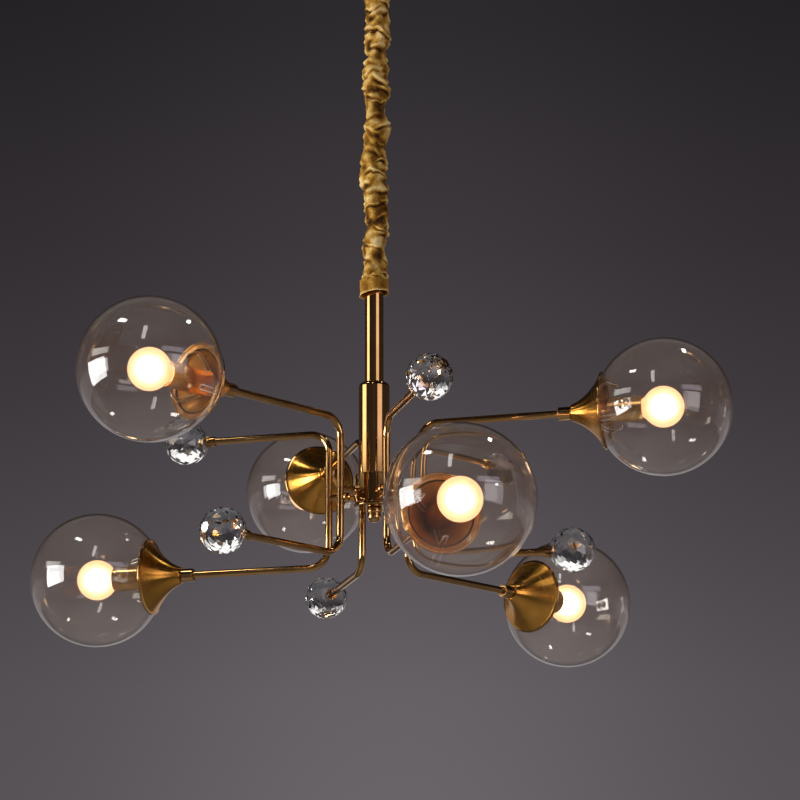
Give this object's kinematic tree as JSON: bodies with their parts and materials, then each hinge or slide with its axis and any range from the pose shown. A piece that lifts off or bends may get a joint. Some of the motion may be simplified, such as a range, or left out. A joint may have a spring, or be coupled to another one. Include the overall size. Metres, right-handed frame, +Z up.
{
  "type": "bubble chandelier",
  "caption": "Brass chandelier with bent C-shaped arms around a hub, clear glass globes in trumpet cups, faceted crystal balls and a gathered velvet sleeve over its hanging chain.",
  "frame": {"origin": "centre of the mounting bracket's top face, on the ceiling", "axes": "+Z up to the ceiling, the lamp hangs along -Z; the picture looks along +Y, with +X to its right"},
  "size_m": [0.7754, 0.7724, 0.808],
  "materials": {
    "brass": "polished antique brass",
    "brushed_brass": "spun and brushed brass",
    "spring": "spring brass",
    "chain": "plain brass wire",
    "steel": "zinc plated",
    "white_plastic": "moulded",
    "ivory_plastic": "moulded",
    "cable": "gold sheathed",
    "velvet": "gathered gold velvet",
    "clear_glass": "clear blown glass",
    "crystal": "faceted crystal",
    "lamp_glass": "warm frosted bulb"
  },
  "bodies": {
    "ceiling": {"mounting_bracket": "steel", "canopy": "brass", "canopy_screws": "brass", "canopy_loop": "brass", "loop_nut": "steel", "terminal_block": "white_plastic"},
    "top_link": {"chain_link_top": "chain"},
    "second_link": {"chain_link_second": "chain"},
    "pendant": {"chain": "chain", "power_cable": "cable", "velvet_sleeve": "velvet", "stem_loop": "brass", "stem": "brass", "body_tube": "brass", "hub": "brass", "hub_cap": "brass", "finial": "brass", "arm_nipples": "brass", "cup_collars": "brass", "lamp_holders": "ivory_plastic", "globe_clips": "spring", "crystal_caps": "brass", "lamp_wires": "cable", "arm_1": "brass", "arm_2": "brass", "arm_3": "brass", "arm_4": "brass", "arm_5": "brass", "arm_6": "brass", "cup_1": "brushed_brass", "cup_2": "brushed_brass", "cup_3": "brushed_brass", "cup_4": "brushed_brass", "cup_5": "brushed_brass", "cup_6": "brushed_brass", "lamp_sleeve_1": "brass", "lamp_sleeve_2": "brass", "lamp_sleeve_3": "brass", "lamp_sleeve_4": "brass", "lamp_sleeve_5": "brass", "lamp_sleeve_6": "brass", "crystal_1": "crystal", "crystal_2": "crystal", "crystal_3": "crystal", "crystal_4": "crystal", "crystal_5": "crystal", "crystal_6": "crystal"},
    "globe_1": {"globe_1": "clear_glass"},
    "bulb_1": {"bulb_1": "lamp_glass"},
    "globe_2": {"globe_2": "clear_glass"},
    "bulb_2": {"bulb_2": "lamp_glass"},
    "globe_3": {"globe_3": "clear_glass"},
    "bulb_3": {"bulb_3": "lamp_glass"},
    "globe_4": {"globe_4": "clear_glass"},
    "bulb_4": {"bulb_4": "lamp_glass"},
    "globe_5": {"globe_5": "clear_glass"},
    "bulb_5": {"bulb_5": "lamp_glass"},
    "globe_6": {"globe_6": "clear_glass"},
    "bulb_6": {"bulb_6": "lamp_glass"}
  },
  "joints": [
    {"name": "swing_front_back", "type": "hinge", "parent": "ceiling", "child": "top_link", "pos_m": [0, 0, -0.051], "axis": [1, 0, 0], "range_deg": [-12, 12]},
    {"name": "swing_side", "type": "hinge", "parent": "top_link", "child": "second_link", "pos_m": [0, 0, -0.07049], "axis": [0, 1, 0], "range_deg": [-12, 12]},
    {"name": "chain_twist", "type": "hinge", "parent": "second_link", "child": "pendant", "pos_m": [0, 0, -0.09049], "axis": [0, 0, 1], "range_deg": [-30, 30]},
    {"name": "globe_1_pull", "type": "slide", "parent": "pendant", "child": "globe_1", "axis": [0.2672, -0.9636, 0], "range_m": [0, 0.1]},
    {"name": "bulb_1_turn", "type": "hinge", "parent": "pendant", "child": "bulb_1", "pos_m": [0.08632, -0.31125, -0.733], "axis": [0.2672, -0.9636, 0], "range_deg": [0, 1080]},
    {"name": "globe_2_pull", "type": "slide", "parent": "pendant", "child": "globe_2", "axis": [-0.7009, -0.7133, 0], "range_m": [0, 0.1]},
    {"name": "bulb_2_turn", "type": "hinge", "parent": "pendant", "child": "bulb_2", "pos_m": [-0.22639, -0.23038, -0.577], "axis": [-0.7009, -0.7133, 0], "range_deg": [0, 1080]},
    {"name": "globe_3_pull", "type": "slide", "parent": "pendant", "child": "globe_3", "axis": [-0.9681, 0.2504, 0], "range_m": [0, 0.1]},
    {"name": "bulb_3_turn", "type": "hinge", "parent": "pendant", "child": "bulb_3", "pos_m": [-0.31271, 0.08087, -0.733], "axis": [-0.9681, 0.2504, 0], "range_deg": [0, 1080]},
    {"name": "globe_4_pull", "type": "slide", "parent": "pendant", "child": "globe_4", "axis": [-0.2672, 0.9636, 0], "range_m": [0, 0.1]},
    {"name": "bulb_4_turn", "type": "hinge", "parent": "pendant", "child": "bulb_4", "pos_m": [-0.08632, 0.31125, -0.577], "axis": [-0.2672, 0.9636, 0], "range_deg": [0, 1080]},
    {"name": "globe_5_pull", "type": "slide", "parent": "pendant", "child": "globe_5", "axis": [0.7009, 0.7133, 0], "range_m": [0, 0.1]},
    {"name": "bulb_5_turn", "type": "hinge", "parent": "pendant", "child": "bulb_5", "pos_m": [0.22639, 0.23038, -0.733], "axis": [0.7009, 0.7133, 0], "range_deg": [0, 1080]},
    {"name": "globe_6_pull", "type": "slide", "parent": "pendant", "child": "globe_6", "axis": [0.9681, -0.2504, 0], "range_m": [0, 0.1]},
    {"name": "bulb_6_turn", "type": "hinge", "parent": "pendant", "child": "bulb_6", "pos_m": [0.31271, -0.08087, -0.577], "axis": [0.9681, -0.2504, 0], "range_deg": [0, 1080]}
  ]
}
